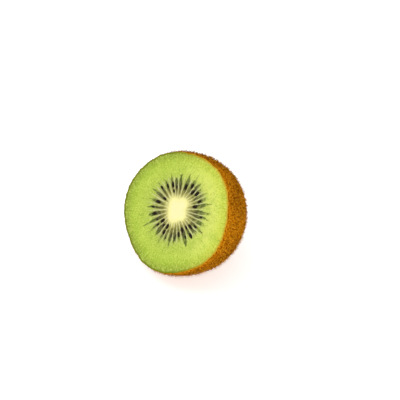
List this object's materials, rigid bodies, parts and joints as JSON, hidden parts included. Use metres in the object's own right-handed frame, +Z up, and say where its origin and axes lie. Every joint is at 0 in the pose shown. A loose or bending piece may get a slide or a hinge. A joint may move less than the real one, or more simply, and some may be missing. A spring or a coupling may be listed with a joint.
{
  "type": "kiwi half",
  "caption": "Half of a green kiwi fruit, cut across, lying on its hairy brown skin with the cut face tilted up; seeds set round a pale core.",
  "frame": {"origin": "middle of the small flat on the skin that the half rests on", "axes": "+Z up; the cut face looks towards -Y and 38 degrees up; the hidden dry end points towards +Y and down"},
  "size_m": [0.0508, 0.048, 0.0495],
  "materials": {
    "skin": "matte, short brown hairs over a thin brown skin",
    "flesh": "moist, bright green, with fine rays",
    "core": "moist, cream white",
    "seed": "smooth, black",
    "stem_scar": "dry, dark brown, rough",
    "sepal": "dry, dark brown, wrinkled"
  },
  "bodies": {
    "root": {"skin": "skin", "flesh": "flesh", "core": "core", "seed_01": "seed", "seed_02": "seed", "seed_03": "seed", "seed_04": "seed", "seed_05": "seed", "seed_06": "seed", "seed_07": "seed", "seed_08": "seed", "seed_09": "seed", "seed_10": "seed", "seed_11": "seed", "seed_12": "seed", "seed_13": "seed", "seed_14": "seed", "seed_15": "seed", "seed_16": "seed", "seed_17": "seed", "seed_18": "seed", "seed_19": "seed", "seed_20": "seed", "seed_21": "seed", "seed_22": "seed", "seed_23": "seed", "seed_24": "seed", "seed_25": "seed", "seed_26": "seed", "seed_27": "seed", "seed_28": "seed", "seed_29": "seed", "seed_30": "seed", "seed_31": "seed", "seed_32": "seed", "seed_33": "seed", "seed_34": "seed", "seed_35": "seed", "seed_36": "seed", "stem_scar": "stem_scar", "sepal_1": "sepal", "sepal_2": "sepal", "sepal_3": "sepal", "sepal_4": "sepal", "sepal_5": "sepal"}
  },
  "joints": []
}
